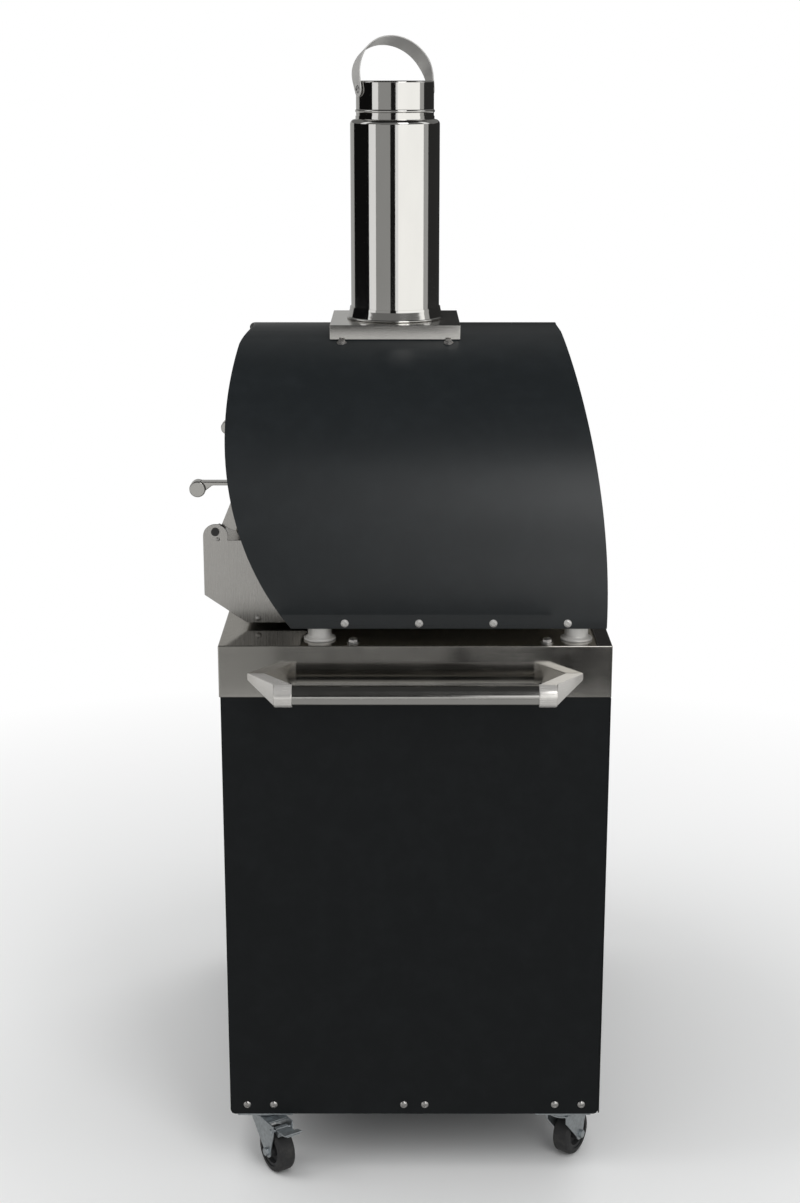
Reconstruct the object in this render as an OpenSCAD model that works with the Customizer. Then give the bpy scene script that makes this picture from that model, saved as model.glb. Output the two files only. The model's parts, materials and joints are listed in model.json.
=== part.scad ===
// Wood fired pizza oven on a rolling cart. Millimetres, +Z up, the front faces -Y.
// The origin is on the floor, in the middle of the whole object's outline.

/* [Cart] */
// Width of the cart, left to right
cart_w = 880; // [780:1:960]
// Depth of the cart, front to back
cart_d = 615; // [600:1:680]
// Height of the worktop above the floor
cart_h = 915; // [820:1:980]
// Height of the stainless band round the worktop
band_h = 84; // [78:1:110]
// Thickness of the cart's sheet metal
cart_sheet = 2; // [1.5:0.1:3]
// Width of the folded edges of the side panels
panel_return = 28; // [20:1:40]
// Corner radius at the foot of the side panels
panel_corner_r = 9; // [4:1:14]
// Height of the folded edge of the base pan
base_lip = 34; // [30:1:44]

/* [Side bars] */
// Diameter of the side bars
side_bar_d = 32; // [26:1:36]
// Length of the side bars
side_bar_len = 434; // [360:1:460]
// Distance from the band to the middle of the bar
side_bar_reach = 60; // [50:1:75]
// Depth of the bar's middle below the worktop
side_bar_drop = 62; // [50:1:62]
// Sideways splay of each bracket, from the bar to the band
bracket_splay = 46; // [20:1:50]
// Width of the brackets
bracket_w = 28; // [20:1:32]

/* [Casters] */
// Diameter of the wheels
wheel_d = 75; // [65:1:80]
// Width of the wheels
wheel_w = 30; // [24:1:34]
// Height of the casters, floor to mounting face
caster_h = 103; // [100:1:115]
// Distance from the swivel axis to the axle
caster_trail = 34; // [28:1:38]
// Distance from the cart's side to the swivel axis
caster_inset_x = 34; // [34:1:60]
// Distance from the cart's front or back to the swivel axis
caster_inset_y = 60; // [52:1:90]
// Rest angle of the trailing side of the casters on the right, from the side outwards
caster_rest = 33; // [0:1:60]

/* [Shell] */
// Outer radius of the barrel shell
shell_r = 421; // [400:1:432]
// Height of the barrel's axis above the worktop
shell_lift = 25; // [25:1:30]
// Thickness of the shell's sheet
shell_t = 2.5; // [1.5:0.1:4]
// Reach of the shell in front of the cart's middle
shell_front = 301; // [285:1:305]
// Radius of the curved front edge
front_edge_r = 486; // [470:1:500]
// Height of the front edge's most forward point above the barrel's axis
front_edge_z = 301; // [290:1:310]
// Reach of the shell behind the cart's middle
shell_rear = 300; // [290:1:304]
// Radius of the curved rear edge
rear_edge_r = 1432; // [1300:1:1600]
// Height of the rear edge's rearmost point above the barrel's axis
rear_edge_z = 32; // [20:1:50]
// Height of the oven feet
foot_h = 22; // [20:1:24]

/* [Hearth] */
// Height of the cooking floor above the worktop
hearth_lift = 143; // [138:1:148]
// Thickness of the hearth stones
stone_t = 22; // [18:1:28]
// Inner radius of the cooking vault
vault_r = 330; // [310:1:345]
// Height of the crown of the vault above the cooking floor
vault_rise = 237; // [225:1:245]
// Thickness of the vault and wall sheets
liner_t = 2; // [1.5:0.1:3]

/* [Landing] */
// Width of the landing box across its cheeks
landing_w = 660; // [630:1:680]
// Reach of the landing box in front of the cart's middle
landing_front = 337; // [330:1:345]
// Height of the pivot ears above the cooking floor
ear_rise = 26; // [24:1:32]

/* [Door] */
// Lean of the door and of the upper front wall
door_lean = 23.5; // [18:0.5:26]
// Thickness of the door
door_t = 26; // [20:1:28]
// Height of the door, measured up the leaf from the pivot
door_rise = 179; // [165:1:190]
// Half width of the mouth
mouth_half = 268; // [240:1:275]
// Height of the mouth, measured up the front wall from the cooking floor
mouth_rise = 148; // [130:1:152]
// Diameter of the door's two round pulls
door_pull_d = 26; // [24:1:30]
// Length of each door pull
door_pull_len = 24; // [20:1:26]
// Distance from the door's middle to the middle of each pull
door_pull_x = 284; // [250:1:285]
// Diameter of the thermometer
gauge_d = 60; // [50:1:66]

/* [Chimney] */
// Diameter of the chimney pipe
pipe_d = 150; // [130:1:160]
// Height of the pipe's shoulder above the flange
pipe_h = 330; // [260:1:420]
// Width of the square flange
flange_w = 217; // [205:1:230]
// Distance of the chimney in front of the cart's middle
flue_front = 32; // [20:1:45]
// Diameter of the lift-off cap
cap_d = 130; // [110:1:134]
// Height of the cap above the pipe's shoulder
cap_h = 62; // [50:1:75]
// Width of the bail's strip
bail_w = 38; // [28:1:40]
// Turn of the bail about the chimney's axis
bail_turn = 25; // [0:1:40]
// Lean of the bail at rest
bail_lean = 21.5; // [0:0.5:40]

/* [Hidden] */

// General clearances: between moving faces, and in a running bore
gap = 0.3;
running = 0.05;
far = 2000;

// Cart
top_z = cart_h;
side_x = cart_w / 2;
panel_x = side_x - cart_sheet;
panel_y = cart_d / 2 - cart_sheet;
band_z = top_z - band_h;
base_z = caster_h;
bolt_z = base_z + base_lip / 2;
bolt_head_r = 6.2;
bolt_head_h = 4;
panel_bolt_y = [-panel_y + 28, -panel_y + 72, -17.5, 17.5, panel_y - 72, panel_y - 28];

// Side bars
bar_r = side_bar_d / 2;
bar_x = side_x + side_bar_reach;
bar_z = top_z - side_bar_drop;
collar_wall = 2;
bracket_tip = 12;

// Casters: sizes shared by the plate, the fork, the wheel and the brake
plate_x = 62;
plate_y = 92;
plate_t = 3;
race_r = 22;
race_h = 8;
kingpin_r = 5;
fork_t = 2.5;
fork_gap = 2;
crown_t = 3;
crown_z = caster_h - plate_t - race_h - gap;
axle_r = 4;
wheel_r = wheel_d / 2;
hub_r = wheel_r * 0.72;
brake_pin_r = 3;
brake_pin = [caster_trail + 14, crown_z - 11.7];
pedal_w = wheel_w - 6;
caster_x = side_x - caster_inset_x;
caster_y = cart_d / 2 - caster_inset_y;

// Shell
axis_z = top_z + shell_lift;
pan_z = top_z + foot_h;
shell_in_r = shell_r - shell_t;
front_c = [-shell_front + front_edge_r, axis_z + front_edge_z];
rear_c = [shell_rear - rear_edge_r, axis_z + rear_edge_z];
ridge_z = axis_z + shell_r;
crown_front_r = 30;
crown_rear_r = 12;
crown_bite = 0.5;
sheet_t = 2;
front_inset = 8;
rear_inset = 6;
shell_bolt_y = [-110, 6, 122, 238];
shell_bolt_z = axis_z + 6;
foot_x = shell_r - 23;
foot_base_r = 25;
foot_stem_r = 18.5;
pan_lip = 24;
foot_y = [-150, 254];
cap_nut_y = [-97, 206];
cap_nut_x = side_x - 16;

// Hearth and vault
hearth_z = top_z + hearth_lift;
stone_z = hearth_z - stone_t;
vault_z = hearth_z + vault_rise - vault_r;
vault_out_r = vault_r + liner_t;
vault_back = shell_rear - 64;
pan_tail = 52;
block_half = vault_out_r + 8;

// Front wall: it follows the shell's edge up to the hearth, then leans back
bend_r = front_edge_r - front_inset;
bend_y = front_c[0] - sqrt(pow(bend_r, 2) - pow(front_c[1] - hearth_z, 2));

// Landing box and the door's pivot
cheek_x = landing_w / 2;
ear_z = hearth_z + ear_rise;
ear_back = -landing_front + 28;
pivot_y = -landing_front + 19.7;
pivot_z = hearth_z + 13.5;
pin_r = 4;
screw_at = [-landing_front + 85.5, top_z + 14.5];
screw_r = 5;
screw_hole_r = 2.5;

// Door, in the leaf's own frame: x across, y into the oven, z up the leaf
lug_t = 3;
door_half = cheek_x - liner_t - 6;
door_face = 5;
door_foot = 12;
door_side = 60;
door_back = door_face + door_t;
skin_t = 1.5;
door_arc_r = arc_r(door_half, door_rise - door_side);
wall_face = (bend_y - pivot_y) * cos(door_lean) - (hearth_z - pivot_z) * sin(door_lean);
ring_front = door_back + 0.5;
mouth_foot = leaf_up(bend_y, hearth_z);
mouth_side = 50;
mouth_arc_r = arc_r(mouth_half, mouth_rise - mouth_side);
ring_t = 3;
pull_r = door_pull_d / 2;
pull_c = [-52.3, 44.3];
pull_arm_w = door_pull_len - 5;
pull_arm_t = 6;
pull_arm_run = 24;
gauge_z = 127;
gauge_r = gauge_d / 2;
gauge_depth = 14;
probe_r = 3;

// Chimney
pipe_r = pipe_d / 2;
pipe_t = 2;
flange_z = ridge_z + 11;
flange_skirt = 24;
shoulder_z = flange_z + pipe_h;
shoulder_r = 8;
neck_r = cap_d / 2 - 3;
cap_r = cap_d / 2;
cap_t = 1.5;
cap_z = shoulder_z + gap;
cap_top = shoulder_z + cap_h;
bail_t = 2;
bail_r = cap_r + 1;
bail_z = cap_top - 14;
bail_leg = 18;
rivet_r = 4;

// The whole outline runs from the door's pulls to the cart's back, and the origin is in its
// middle
reach_front = -(pivot_y + leaf_y(pull_c) - pull_r);
shift_y = (reach_front - cart_d / 2) / 2;

// Radius of an arc with the given half chord and rise
function arc_r(half, rise) = (half * half + rise * rise) / (2 * rise);
// A leaf point [y, z] as an offset from the pivot along the cart's Y
function leaf_y(p) = p[0] * cos(door_lean) + p[1] * sin(door_lean);
// Distance up the leaf of a point given in the cart's Y and Z
function leaf_up(y, z) = (y - pivot_y) * sin(door_lean) + (z - pivot_z) * cos(door_lean);

// ---- placing helpers ----

// Everything is drawn about the cart's middle and moved here
module place() {
    translate([0, shift_y, 0]) children();
}

// Extrudes a [y, z] outline across the cart
module across(width) {
    rotate([90, 0, 90]) linear_extrude(width, center = true) children();
}

// Extrudes an [x, z] outline from front to back
module lengthwise(length) {
    rotate([90, 0, 0]) linear_extrude(length, center = true) children();
}

// The door leaf's frame, with its origin on the hinge axis
module leaf_frame() {
    translate([0, pivot_y, pivot_z]) rotate([-door_lean, 0, 0]) children();
}

// Copies a piece to both sides
module both_sides() {
    children();
    mirror([1, 0, 0]) children();
}

// A cylinder along X that starts at x
module rod_x(x, r, length) {
    translate([x, 0, 0]) rotate([0, 90, 0]) cylinder(r = r, h = length, $fn = 40);
}

// A dome-headed bolt that stands on +Z, with its shank below
module dome_bolt(head_r, head_h, shank) {
    intersection() {
        translate([0, 0, head_h - head_r * 1.25]) sphere(r = head_r * 1.25, $fn = 40);
        cylinder(r = head_r, h = head_h, $fn = 40);
    }
    translate([0, 0, -shank]) cylinder(r = head_r * 0.45, h = shank + 0.5, $fn = 24);
}

// ---- outlines ----

// Everything above the given height, as a [y, z] or [x, z] outline
module above(z) {
    translate([-far, z]) square([2 * far, far]);
}

// Centre of a circle of radius r that touches, from inside, the arc of radius big about mid
// and the ridge's level; side is -1 at the front
function fillet_centre(mid, big, r, side) =
    [mid[0] + side * sqrt(pow(big - r, 2) - pow(ridge_z - r - mid[1], 2)), ridge_z - r];

// What the rounding of the corner between that arc and the ridge takes away. Its circle
// crosses both edges a little, since arcs that only touch don't cut cleanly.
module corner_cut(mid, big, r, side) {
    c = fillet_centre(mid, big, r - crown_bite, side);
    out = (c - mid) / norm(c - mid);
    difference() {
        polygon([c, c + [0, far], c + [side * far, far], c + far * out]);
        translate(c) circle(r = r, $fn = 60);
    }
}

// Side outline of the shell
module shell_side() {
    difference() {
        intersection() {
            translate(front_c) circle(r = front_edge_r, $fn = 240);
            translate(rear_c) circle(r = rear_edge_r, $fn = 360);
            above(pan_z);
        }
        corner_cut(front_c, front_edge_r, crown_front_r, -1);
        corner_cut(rear_c, rear_edge_r, crown_rear_r, 1);
    }
}

// Side outline of the space behind the front wall and before the rear wall
module inside_side(front_in, rear_in, wall_in) {
    intersection() {
        translate(front_c) circle(r = front_edge_r - front_in, $fn = 240);
        translate(rear_c) circle(r = rear_edge_r - rear_in, $fn = 360);
        translate([bend_y, hearth_z]) rotate(-door_lean) translate([wall_in, -far])
            square([2 * far, 2 * far]);
        above(pan_z);
    }
}

// Cross-section of the barrel at the given radius
module barrel(r) {
    intersection() {
        translate([0, axis_z]) rotate(-90) circle(r = r, $fn = 240);
        above(pan_z);
    }
}

// A low arch in the leaf's frame: straight sides, then one arc over the top
module leaf_arch(half, foot, side, rise) {
    r = arc_r(half, rise - side);
    intersection() {
        translate([-half, foot]) square([2 * half, rise - foot + 1]);
        translate([0, rise - r]) circle(r = r, $fn = 240);
    }
}

// The same arch as a slab between two depths of the leaf's frame
module leaf_slab(y0, y1, half, foot, side, rise) {
    translate([0, y1, 0]) rotate([90, 0, 0]) linear_extrude(y1 - y0)
        leaf_arch(half, foot, side, rise);
}

// ---- cart ----

module cart_top() {
    color("silver") place() {
        difference() {
            translate([-side_x, -cart_d / 2, band_z]) cube([cart_w, cart_d, band_h]);
            translate([-panel_x, -panel_y, band_z - 1])
                cube([2 * panel_x, 2 * panel_y, band_h + 1 - cart_sheet]);
        }
        // Hem under the front apron
        translate([-panel_x + panel_return, -panel_y, band_z])
            cube([2 * (panel_x - panel_return), 12, cart_sheet]);
    }
}

// Outline of a side panel with rounded feet
module panel_outline(y, z1) {
    r = panel_corner_r;
    translate([-y, base_z + r]) square([2 * y, z1 - base_z - r]);
    translate([-y + r, base_z]) square([2 * (y - r), r + 1]);
    for (s = [-1, 1])
        translate([s * (y - r), base_z + r]) circle(r = r, $fn = 48);
}

module side_panel_right() {
    color([0.13, 0.14, 0.15]) place() {
        top = top_z - cart_sheet;
        difference() {
            union() {
                translate([panel_x - cart_sheet / 2, 0, 0]) across(cart_sheet)
                    panel_outline(panel_y, top);
                // Folded edges at the front, the back and the top
                for (y = [-panel_y, panel_y - cart_sheet])
                    translate([panel_x - panel_return, y, base_z + panel_corner_r])
                        cube([panel_return, cart_sheet, top - base_z - panel_corner_r]);
                translate([panel_x - panel_return, -panel_y, top - cart_sheet])
                    cube([panel_return, 2 * panel_y, cart_sheet]);
            }
            for (y = panel_bolt_y)
                translate([0, y, bolt_z]) rod_x(panel_x - 2 * cart_sheet, 3, 3 * cart_sheet);
        }
    }
}

module side_panel_left() {
    mirror([1, 0, 0]) side_panel_right();
}

module rear_panel() {
    color([0.13, 0.14, 0.15]) place()
        translate([-panel_x, panel_y, base_z + cart_sheet])
            cube([2 * panel_x, cart_sheet, band_z - base_z - 2 * cart_sheet]);
}

module base_pan() {
    inner_x = panel_x - cart_sheet;
    inner_y = panel_y - cart_sheet;
    color([0.13, 0.14, 0.15]) place() {
        difference() {
            translate([-inner_x, -inner_y, base_z])
                cube([2 * inner_x, 2 * inner_y, base_lip]);
            translate([-inner_x + cart_sheet, -inner_y + cart_sheet, base_z + cart_sheet])
                cube([2 * (inner_x - cart_sheet), 2 * (inner_y - cart_sheet), base_lip]);
            for (y = panel_bolt_y)
                translate([0, y, bolt_z]) rod_x(-panel_x, 3, 2 * panel_x);
        }
    }
}

module panel_bolts() {
    color("silver") place() both_sides() for (y = panel_bolt_y)
        translate([panel_x, y, bolt_z]) rotate([0, 90, 0])
            dome_bolt(bolt_head_r, bolt_head_h, 2 * cart_sheet + 4);
}

module top_cap_nuts() {
    color("silver") place() both_sides() for (y = cap_nut_y)
        translate([cap_nut_x, y, top_z]) {
            cylinder(r = 10, h = 2, $fn = 40);
            translate([0, 0, 2]) cylinder(r = 8, h = 5, $fn = 6);
            translate([0, 0, 5]) dome_bolt(6.5, 5, 2);
        }
}

// ---- side bars ----

module side_bar_right() {
    color("silver") place() translate([bar_x, 0, bar_z]) rotate([90, 0, 0])
        cylinder(r = bar_r, h = side_bar_len, center = true, $fn = 64);
}

module side_bar_left() {
    mirror([1, 0, 0]) side_bar_right();
}

// One wedge bracket at the +Y end of the right bar: deep at the bar, thin at the band
module bar_bracket() {
    y1 = side_bar_len / 2;
    y0 = y1 - bracket_w;
    collar_r = bar_r + collar_wall;
    difference() {
        union() {
            translate([bar_x, y1, bar_z]) rotate([90, 0, 0])
                cylinder(r = collar_r, h = bracket_w, $fn = 64);
            intersection() {
                translate([0, 0, bar_z - collar_r]) linear_extrude(2 * collar_r)
                    polygon([[bar_x, y0], [bar_x, y1], [side_x, y1 + bracket_splay],
                             [side_x, y0 + bracket_splay]]);
                translate([0, far, 0]) rotate([90, 0, 0]) linear_extrude(2 * far)
                    polygon([[bar_x, bar_z - collar_r], [bar_x, bar_z + collar_r],
                             [side_x, bar_z + collar_r],
                             [side_x, bar_z + collar_r - bracket_tip]]);
            }
        }
        translate([bar_x, 0, bar_z]) rotate([90, 0, 0])
            cylinder(r = bar_r, h = side_bar_len + 1, center = true, $fn = 64);
    }
}

module bar_brackets() {
    color("silver") place() both_sides() {
        bar_bracket();
        mirror([0, 1, 0]) bar_bracket();
    }
}

// ---- casters ----

// Puts a caster's pieces on its swivel axis, turned to its rest angle
module at_caster(side, end) {
    turn = side > 0 ? (end < 0 ? caster_rest : 180 - caster_rest)
                    : (end < 0 ? 180 - caster_rest : caster_rest);
    place() translate([side * caster_x, end * caster_y, 0]) rotate([0, 0, turn]) children();
}

module caster_plates() {
    color("gainsboro") place() for (side = [-1, 1]) for (end = [-1, 1])
        translate([side * caster_x, end * caster_y, 0]) {
            difference() {
                translate([-plate_x / 2, -plate_y / 2, caster_h - plate_t])
                    cube([plate_x, plate_y, plate_t]);
                for (sx = [-1, 1]) for (sy = [-1, 1])
                    translate([sx * (plate_x / 2 - 9), sy * (plate_y / 2 - 10), 0])
                        cylinder(r = 3.5, h = caster_h + 1, $fn = 24);
            }
            translate([0, 0, caster_h - plate_t - race_h])
                cylinder(r1 = race_r, r2 = race_r + 3, h = race_h, $fn = 64);
            translate([0, 0, crown_z - crown_t - 3])
                cylinder(r = kingpin_r, h = caster_h - plate_t - crown_z + crown_t + 3, $fn = 40);
            translate([0, 0, crown_z - crown_t - 5])
                cylinder(r = kingpin_r + 4, h = 4.7, $fn = 40);
        }
}

// One leg of the fork as an outline in the trailing direction and height
module fork_leg() {
    polygon([[-16, crown_z], [brake_pin[0] + 6, crown_z], [brake_pin[0] + 6, crown_z - 18],
             [caster_trail + 10.5, wheel_r + 3], [caster_trail - 10, wheel_r - 3],
             [-16, crown_z - 14]]);
    translate([caster_trail, wheel_r]) circle(r = 11, $fn = 48);
}

module fork(has_brake) {
    half = wheel_w / 2 + fork_gap;
    color("gainsboro") difference() {
        union() {
            for (s = [-1, 1])
                translate([0, s * (half + fork_t / 2) + fork_t / 2, 0]) rotate([90, 0, 0])
                    linear_extrude(fork_t) fork_leg();
            translate([-16, -half - fork_t, crown_z - crown_t])
                cube([16 + caster_trail + 4, 2 * (half + fork_t), crown_t]);
            translate([0, 0, crown_z - crown_t]) cylinder(r = race_r, h = crown_t, $fn = 64);
        }
        translate([0, 0, -1]) cylinder(r = kingpin_r + running, h = caster_h, $fn = 40);
        translate([caster_trail, 0, wheel_r]) rotate([90, 0, 0])
            cylinder(r = axle_r, h = 100, center = true, $fn = 40);
        if (has_brake)
            translate([brake_pin[0], 0, brake_pin[1]]) rotate([90, 0, 0])
                cylinder(r = brake_pin_r, h = 100, center = true, $fn = 32);
    }
}

module fork_front_right() { at_caster(1, -1) fork(true); }
module fork_front_left() { at_caster(-1, -1) fork(true); }
module fork_rear_right() { at_caster(1, 1) fork(false); }
module fork_rear_left() { at_caster(-1, 1) fork(false); }

// Turns a profile of radius and width about the axle
module on_axle() {
    translate([caster_trail, 0, wheel_r]) rotate([90, 0, 0]) rotate_extrude($fn = 96) children();
}

module wheel() {
    half = wheel_w / 2;
    web = 4;
    bore = axle_r + running;
    color("dimgray") on_axle() {
        translate([bore, -half - fork_gap + gap]) square([7, 2 * (half + fork_gap - gap)]);
        translate([bore + 1, -web]) square([hub_r - bore - 2, 2 * web]);
        translate([hub_r - 5, -half + 2]) square([5, wheel_w - 4]);
    }
}

module wheel_front_right() { at_caster(1, -1) wheel(); }
module wheel_front_left() { at_caster(-1, -1) wheel(); }
module wheel_rear_right() { at_caster(1, 1) wheel(); }
module wheel_rear_left() { at_caster(-1, 1) wheel(); }

module tyre() {
    half = wheel_w / 2;
    crown = 6;
    color([0.08, 0.08, 0.08]) on_axle() difference() {
        union() {
            translate([hub_r, -half]) square([wheel_r - crown - hub_r, wheel_w]);
            translate([hub_r, -half + crown]) square([wheel_r - hub_r, wheel_w - 2 * crown]);
            for (s = [-1, 1])
                translate([wheel_r - crown, s * (half - crown)]) circle(r = crown, $fn = 40);
        }
        translate([0, -half - 1]) square([hub_r, wheel_w + 2]);
    }
}

module tyre_front_right() { at_caster(1, -1) tyre(); }
module tyre_front_left() { at_caster(-1, -1) tyre(); }
module tyre_rear_right() { at_caster(1, 1) tyre(); }
module tyre_rear_left() { at_caster(-1, 1) tyre(); }

// A pin across the fork with a head on each side
module cross_pin(t, z, r, head_r, head_h) {
    outer = wheel_w / 2 + fork_gap + fork_t;
    translate([t, 0, z]) rotate([90, 0, 0]) {
        cylinder(r = r, h = 2 * outer, center = true, $fn = 40);
        for (s = [-1, 1])
            translate([0, 0, s * (outer + head_h / 2)])
                cylinder(r = head_r, h = head_h, center = true, $fn = 6);
    }
}

module axle(has_brake) {
    color("silver") {
        cross_pin(caster_trail, wheel_r, axle_r, 7, 5);
        if (has_brake) cross_pin(brake_pin[0], brake_pin[1], brake_pin_r, 4.5, 1.5);
    }
}

module axle_front_right() { at_caster(1, -1) axle(true); }
module axle_front_left() { at_caster(-1, -1) axle(true); }
module axle_rear_right() { at_caster(1, 1) axle(false); }
module axle_rear_left() { at_caster(-1, 1) axle(false); }

// The pedal turns on its pin above the tyre, and its tongue meets the tread
module brake_pedal() {
    t = brake_pin[0];
    z = brake_pin[1];
    color("gainsboro") difference() {
        union() {
            translate([0, pedal_w / 2, 0]) rotate([90, 0, 0]) linear_extrude(pedal_w) {
                polygon([[t, z + 2], [t + 10, z + 4], [t + 40, z + 10], [t + 42, z + 7],
                         [t + 14, z], [t + 11, z - 8], [t + 7, z - 8], [t + 2, z - 3]]);
                translate([t, z]) circle(r = brake_pin_r + 2.5, $fn = 40);
            }
            translate([t + 28, -pedal_w / 2 - 4, z + 6.3]) rotate([0, -11, 0])
                cube([14, pedal_w + 8, 2.6]);
        }
        translate([t, 0, z]) rotate([90, 0, 0])
            cylinder(r = brake_pin_r + running, h = 100, center = true, $fn = 32);
    }
}

module brake_pedal_right() { at_caster(1, -1) brake_pedal(); }
module brake_pedal_left() { at_caster(-1, -1) brake_pedal(); }

// ---- oven body ----

module oven_feet() {
    color("silver") place() both_sides() for (y = foot_y)
        translate([foot_x, y, top_z]) {
            cylinder(r = foot_base_r, h = 3.5, $fn = 64);
            translate([0, 0, 3.5]) cylinder(r1 = foot_stem_r + 3.5, r2 = foot_stem_r, h = 3, $fn = 64);
            translate([0, 0, 3.5]) cylinder(r = foot_stem_r, h = foot_h - 3.5, $fn = 64);
        }
}

module floor_pan() {
    half = shell_in_r - 0.7;
    front = -sqrt(pow(bend_r - sheet_t, 2) - pow(front_c[1] - pan_z, 2)) + front_c[0] + 1;
    rear = vault_back + pan_tail;
    color("silver") place() {
        translate([-half, front, pan_z]) cube([2 * half, rear - front, sheet_t]);
        both_sides() difference() {
            translate([half - sheet_t, front, pan_z]) cube([sheet_t, rear - front, pan_lip]);
            for (y = shell_bolt_y)
                translate([0, y, shell_bolt_z]) rod_x(half - 2 * sheet_t, 3, 4 * sheet_t);
        }
    }
}

module floor_insulation() {
    color([0.85, 0.82, 0.72]) place() intersection() {
        across(2 * block_half) inside_side(front_inset + sheet_t, rear_inset + sheet_t, sheet_t);
        translate([-far, -far, pan_z + sheet_t])
            cube([2 * far, far + vault_back + liner_t, stone_z - pan_z - sheet_t]);
    }
}

module hearth_stones() {
    half = sqrt(pow(vault_r, 2) - pow(hearth_z - vault_z, 2)) - 1;
    joint = 1;
    front = front_c[0] - sqrt(pow(bend_r - sheet_t, 2) - pow(front_c[1] - stone_z, 2)) + 1;
    tile_y = (vault_back - front - joint) / 2;
    tile_x = half - joint / 2;
    color([0.82, 0.74, 0.6]) place() for (sx = [0, 1]) for (sy = [0, 1])
        translate([sx == 0 ? -half : joint / 2, front + sy * (tile_y + joint), stone_z])
            cube([tile_x, tile_y, stone_t]);
}

// Side outline of the landing box: a leaning front, an upright face and a chamfered foot
module landing_outline(inset) {
    foot_z = top_z + 7;
    difference() {
        polygon([[-landing_front + 25 + inset, hearth_z - inset],
                 [-landing_front + inset, hearth_z - 52],
                 [-landing_front + inset, hearth_z - 90 + inset / 2],
                 [-landing_front + 67 + inset, foot_z + inset],
                 [0, foot_z + inset], [0, hearth_z - inset]]);
        translate(front_c) circle(r = bend_r, $fn = 240);
    }
}

// Outline of a cheek: the box outline with an upright front and a rounded pivot ear
module cheek_outline() {
    ear_r = 20;
    landing_outline(0);
    difference() {
        union() {
            translate([-landing_front, hearth_z - 60]) square([60, 60]);
            translate([-landing_front, hearth_z - 1]) square([28, ear_z - hearth_z + 1 - ear_r]);
            translate([-landing_front + ear_r, hearth_z]) square([28 - ear_r, ear_rise]);
            translate([-landing_front + ear_r, ear_z - ear_r]) circle(r = ear_r, $fn = 60);
        }
        translate(front_c) circle(r = bend_r, $fn = 240);
        translate([pivot_y, pivot_z]) circle(r = pin_r, $fn = 40);
    }
}

module cheek_screws() {
    color("silver") place() both_sides() translate([cheek_x, screw_at[0], screw_at[1]])
        rotate([0, 90, 0]) dome_bolt(screw_r, 3, liner_t + 5);
}

module landing_shelf() {
    tongue = 10;
    color("silver") place() {
        both_sides() translate([cheek_x - liner_t / 2, 0, 0]) across(liner_t) difference() {
            cheek_outline();
            translate(screw_at) circle(r = screw_hole_r, $fn = 32);
        }
        across(landing_w - 2 * liner_t) difference() {
            landing_outline(0);
            landing_outline(liner_t);
        }
        // Sill that runs through the mouth to the stones
        translate([-mouth_half, bend_y - 1, hearth_z - liner_t])
            cube([2 * mouth_half, tongue, liner_t]);
    }
}

// The mouth's opening through the front wall, down to the sill
module mouth_cut() {
    leaf_frame() leaf_slab(wall_face - 20, wall_face + 20, mouth_half,
                           mouth_foot - 1.1 * liner_t,
                           mouth_foot + mouth_side, mouth_foot + mouth_rise);
}

module front_fascia() {
    color("silver") place() difference() {
        intersection() {
            lengthwise(far) barrel(shell_in_r - gap);
            across(far) difference() {
                inside_side(front_inset, rear_inset, 0);
                inside_side(front_inset + sheet_t, -far / 20, sheet_t);
                translate([flue_front, 0]) square([far, far]);
            }
        }
        mouth_cut();
    }
}

module mouth_ring() {
    side = mouth_foot + mouth_side;
    rise = mouth_foot + mouth_rise;
    color([0.12, 0.12, 0.12]) place() intersection() {
        leaf_frame() difference() {
            union() {
                leaf_slab(ring_front, wall_face, mouth_half, -40, side, rise);
                leaf_slab(wall_face - 3, wall_face, mouth_half + 22, -40, side + 6, rise + 22);
            }
            leaf_slab(0, 2 * wall_face, mouth_half - ring_t, -80, side, rise - ring_t);
        }
        translate([-far, -far, hearth_z]) cube([2 * far, 2 * far, far]);
    }
}

// Cross-section of the vault: it stands on the floor insulation
module vault(r) {
    intersection() {
        translate([0, vault_z]) rotate(-90) circle(r = r, $fn = 240);
        above(stone_z);
    }
}

module flue_hole() {
    translate([0, -flue_front, vault_z]) cylinder(r = pipe_r + gap, h = far, $fn = 96);
}

module inner_dome() {
    color("silver") place() difference() {
        intersection() {
            union() {
                lengthwise(far) difference() {
                    vault(vault_out_r);
                    vault(vault_r);
                }
                translate([0, vault_back + liner_t / 2, 0]) lengthwise(liner_t) vault(vault_r + 1);
            }
            across(far) inside_side(front_inset + sheet_t, rear_inset, sheet_t);
            translate([-far, -far, 0]) cube([2 * far, far + vault_back + liner_t, far]);
        }
        flue_hole();
    }
}

module dome_insulation() {
    color([0.93, 0.93, 0.9]) place() difference() {
        intersection() {
            lengthwise(far) barrel(shell_in_r - 1);
            across(far) inside_side(front_inset + sheet_t, rear_inset + sheet_t + 1, sheet_t);
            translate([-shell_in_r + 3.2, -far, pan_z + sheet_t])
                cube([2 * (shell_in_r - 3.2), 2 * far, far]);
        }
        intersection() {
            lengthwise(far) vault(vault_out_r);
            translate([-far, -far, 0]) cube([2 * far, far + vault_back + liner_t, far]);
        }
        translate([-block_half, -far, 0])
            cube([2 * block_half, far + vault_back + liner_t, stone_z]);
        flue_hole();
    }
}

module outer_shell() {
    color([0.17, 0.18, 0.2]) place() difference() {
        intersection() {
            lengthwise(far) difference() {
                barrel(shell_r);
                barrel(shell_in_r);
            }
            across(far) shell_side();
        }
        translate([0, -flue_front, axis_z]) cylinder(r = pipe_r + gap, h = far, $fn = 96);
        for (y = shell_bolt_y)
            translate([0, y, shell_bolt_z]) rod_x(-shell_r - 1, 3, 2 * shell_r + 2);
    }
}

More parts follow.
